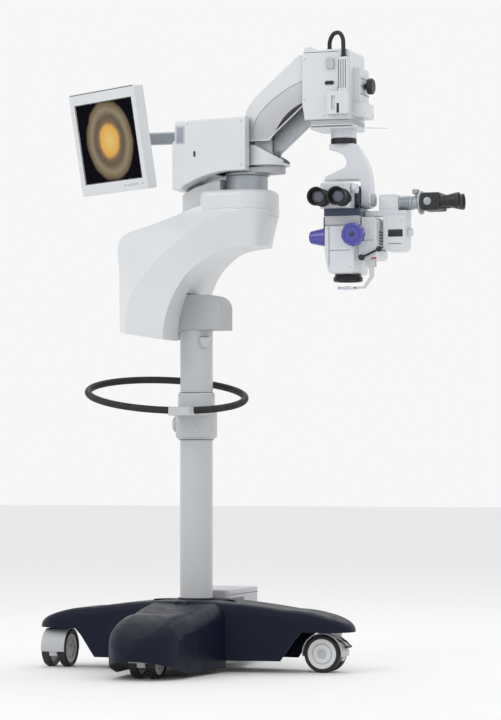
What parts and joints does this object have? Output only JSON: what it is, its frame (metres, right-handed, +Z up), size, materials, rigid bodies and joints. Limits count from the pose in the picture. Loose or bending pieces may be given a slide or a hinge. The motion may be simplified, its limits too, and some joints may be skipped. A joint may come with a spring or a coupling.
{
  "type": "surgical microscope",
  "caption": "Floor-standing surgical microscope: wheeled cross base, column with push ring, swivel housing, spring arm, tilting binocular head, assistant tube and monitor.",
  "frame": {"origin": "on the floor, below the middle of the stand's bounding box", "axes": "+Z up; +X towards the side the spring arm reaches to; -Y towards the surgeon"},
  "size_m": [1.37, 1.072, 1.9641],
  "materials": {
    "iron": "matt",
    "navy_cover": "satin",
    "grey_cover": "satin",
    "white_metal": "painted satin",
    "black_rubber": "matt",
    "casting": "cast",
    "white_cover": "satin",
    "grey_metal": "satin",
    "black_plastic": "matt",
    "screen_glass": "gloss",
    "steel": "brushed",
    "black_metal": "anodised",
    "navy_metal": "painted satin",
    "blue_plastic": "gloss",
    "lens_glass": "polished",
    "wheel_plastic": "satin"
  },
  "bodies": {
    "stand": {"base_chassis": "iron", "base_shell": "navy_cover", "base_connector_box": "grey_cover", "column_tube": "white_metal", "column_sleeve": "grey_cover", "push_ring": "black_rubber", "column_head": "casting", "housing_near": "white_cover", "housing_far": "white_cover", "housing_plinth": "white_cover", "bearing_housing": "grey_metal"},
    "switch": {"mains_switch": "black_plastic"},
    "swivel_arm": {"swivel_plate": "casting", "swivel_cover_near": "white_cover", "swivel_cover_far": "white_cover", "monitor_bar": "grey_metal"},
    "monitor_joint": {"monitor_fork": "grey_metal"},
    "monitor": {"monitor_back": "white_cover", "monitor_bezel": "white_cover", "monitor_screen": "screen_glass"},
    "elbow": {"knuckle": "casting", "knuckle_cover": "white_cover"},
    "upper_arm": {"arm_beam": "casting", "arm_shell": "white_cover", "balance_spring": "steel"},
    "lower_arm": {"lower_link": "grey_metal"},
    "carrier": {"carrier_frame": "casting", "carrier_housing": "white_cover", "cable_loop": "black_rubber"},
    "lock": {"lock_knob": "black_plastic"},
    "latch": {"carrier_latch": "grey_cover"},
    "slide_across": {"stage_upper": "casting"},
    "slide_along": {"stage_lower": "casting"},
    "head": {"head_ring": "black_metal", "yoke": "white_metal"},
    "optics": {"optics_carrier": "navy_metal", "binocular_housing": "white_metal", "microscope_body": "white_metal", "side_module": "white_cover", "objective": "black_metal", "objective_lens": "lens_glass", "assistant_bridge": "white_metal", "camera_housing": "white_cover"},
    "eyepiece_left": {"eyepiece_left": "black_plastic"},
    "eyepiece_right": {"eyepiece_right": "black_plastic"},
    "zoom_handle": {"left_handle": "blue_plastic"},
    "focus_knob": {"front_knob": "blue_plastic"},
    "wide_lens_arm": {"lens_arm": "steel", "wide_lens": "lens_glass"},
    "lever": {"focus_lever": "black_plastic"},
    "assistant": {"assistant_tube": "grey_metal", "assistant_head": "black_plastic"},
    "fork_right": {"caster_fork_right": "grey_cover"},
    "wheels_right": {"caster_wheels_right": "wheel_plastic"},
    "fork_rear": {"caster_fork_rear": "grey_cover"},
    "wheels_rear": {"caster_wheels_rear": "wheel_plastic"},
    "fork_left": {"caster_fork_left": "grey_cover"},
    "wheels_left": {"caster_wheels_left": "wheel_plastic"},
    "fork_front": {"caster_fork_front": "grey_cover"},
    "wheels_front": {"caster_wheels_front": "wheel_plastic"}
  },
  "joints": [
    {"name": "caster_swivel_right", "type": "hinge", "parent": "stand", "child": "fork_right", "pos_m": [0.277, 0.021, 0.126], "axis": [0, 0, 1], "continuous": true},
    {"name": "wheel_spin_right", "type": "hinge", "parent": "fork_right", "child": "wheels_right", "pos_m": [0.251, 0.021, 0.0575], "axis": [0, 1, 0], "continuous": true},
    {"name": "caster_swivel_rear", "type": "hinge", "parent": "stand", "child": "fork_rear", "pos_m": [-0.171, 0.469, 0.126], "axis": [0, 0, 1], "continuous": true},
    {"name": "wheel_spin_rear", "type": "hinge", "parent": "fork_rear", "child": "wheels_rear", "pos_m": [-0.171, 0.443, 0.0575], "axis": [-1, 0, 0], "continuous": true},
    {"name": "caster_swivel_left", "type": "hinge", "parent": "stand", "child": "fork_left", "pos_m": [-0.619, 0.021, 0.126], "axis": [0, 0, 1], "continuous": true},
    {"name": "wheel_spin_left", "type": "hinge", "parent": "fork_left", "child": "wheels_left", "pos_m": [-0.619, -0.005, 0.0575], "axis": [-1, 0, 0], "continuous": true},
    {"name": "caster_swivel_front", "type": "hinge", "parent": "stand", "child": "fork_front", "pos_m": [-0.171, -0.427, 0.126], "axis": [0, 0, 1], "continuous": true},
    {"name": "wheel_spin_front", "type": "hinge", "parent": "fork_front", "child": "wheels_front", "pos_m": [-0.171, -0.401, 0.0575], "axis": [1, 0, 0], "continuous": true},
    {"name": "mains_rocker", "type": "hinge", "parent": "stand", "child": "switch", "pos_m": [-0.155, 0.3733, 0.21], "axis": [1, 0, 0], "range_deg": [-8, 8]},
    {"name": "swivel_turn", "type": "hinge", "parent": "stand", "child": "swivel_arm", "pos_m": [-0.004, 0.021, 1.533], "axis": [0, 0, 1], "range_deg": [-60, 60]},
    {"name": "monitor_turn", "type": "hinge", "parent": "swivel_arm", "child": "monitor_joint", "pos_m": [-0.384, 0.021, 1.66], "axis": [0, 0, 1], "range_deg": [-25, 12]},
    {"name": "monitor_tilt", "type": "hinge", "parent": "monitor_joint", "child": "monitor", "pos_m": [-0.40301, -0.00719, 1.66], "axis": [0.829, -0.5592, 0], "range_deg": [-10, 15]},
    {"name": "elbow_turn", "type": "hinge", "parent": "swivel_arm", "child": "elbow", "pos_m": [0.065, 0.021, 1.555], "axis": [0, 0, 1], "range_deg": [-35, 35]},
    {"name": "arm_lift", "type": "hinge", "parent": "elbow", "child": "upper_arm", "pos_m": [0.065, 0.021, 1.662], "axis": [0, -1, 0], "range_deg": [-45, 3]},
    {"name": "link_lift", "type": "hinge", "parent": "elbow", "child": "lower_arm", "pos_m": [0.065, 0.021, 1.592], "axis": [0, -1, 0], "range_deg": [-45, 3]},
    {"name": "carrier_level", "type": "hinge", "parent": "upper_arm", "child": "carrier", "pos_m": [0.25823, 0.021, 1.83296], "axis": [0, -1, 0], "range_deg": [-3, 45]},
    {"name": "lock_knob_turn", "type": "hinge", "parent": "carrier", "child": "lock", "pos_m": [0.379, 0.021, 1.797], "axis": [1, 0, 0], "continuous": true},
    {"name": "latch_press", "type": "slide", "parent": "carrier", "child": "latch", "axis": [0, 1, 0], "range_m": [-0.0015, 0]},
    {"name": "slide_across_travel", "type": "slide", "parent": "carrier", "child": "slide_across", "axis": [0, 1, 0], "range_m": [-0.02, 0.02]},
    {"name": "slide_along_travel", "type": "slide", "parent": "slide_across", "child": "slide_along", "axis": [1, 0, 0], "range_m": [-0.02, 0.02]},
    {"name": "head_turn", "type": "hinge", "parent": "slide_along", "child": "head", "pos_m": [0.311, 0.021, 1.638], "axis": [0, 0, 1], "range_deg": [-60, 60]},
    {"name": "optics_tilt", "type": "hinge", "parent": "head", "child": "optics", "pos_m": [0.372, 0.021, 1.446], "axis": [1, 0, 0], "range_deg": [-15, 45]},
    {"name": "dioptre_left", "type": "hinge", "parent": "optics", "child": "eyepiece_left", "pos_m": [0.2815, -0.071, 1.446], "axis": [0, -1, 0], "continuous": true},
    {"name": "dioptre_right", "type": "hinge", "parent": "optics", "child": "eyepiece_right", "pos_m": [0.3445, -0.071, 1.446], "axis": [0, -1, 0], "continuous": true},
    {"name": "zoom_handle_turn", "type": "hinge", "parent": "optics", "child": "zoom_handle", "pos_m": [0.275, -0.009, 1.334], "axis": [-1, 0, 0], "continuous": true},
    {"name": "focus_knob_turn", "type": "hinge", "parent": "optics", "child": "focus_knob", "pos_m": [0.374, -0.067, 1.334], "axis": [0, -1, 0], "continuous": true},
    {"name": "wide_lens_fold", "type": "hinge", "parent": "optics", "child": "wide_lens_arm", "pos_m": [0.407, -0.009, 1.25], "axis": [0, -1, 0], "range_deg": [0, 90]},
    {"name": "lever_swing", "type": "hinge", "parent": "optics", "child": "lever", "pos_m": [0.391, -0.059, 1.266], "axis": [0, 1, 0], "range_deg": [-12, 12]},
    {"name": "assistant_turn", "type": "hinge", "parent": "optics", "child": "assistant", "pos_m": [0.492, 0.021, 1.434], "axis": [1, 0, 0], "range_deg": [-45, 45]}
  ],
  "couplings": [
    {"joint": "link_lift", "follows": "arm_lift", "ratio": 1},
    {"joint": "carrier_level", "follows": "arm_lift", "ratio": -1}
  ]
}
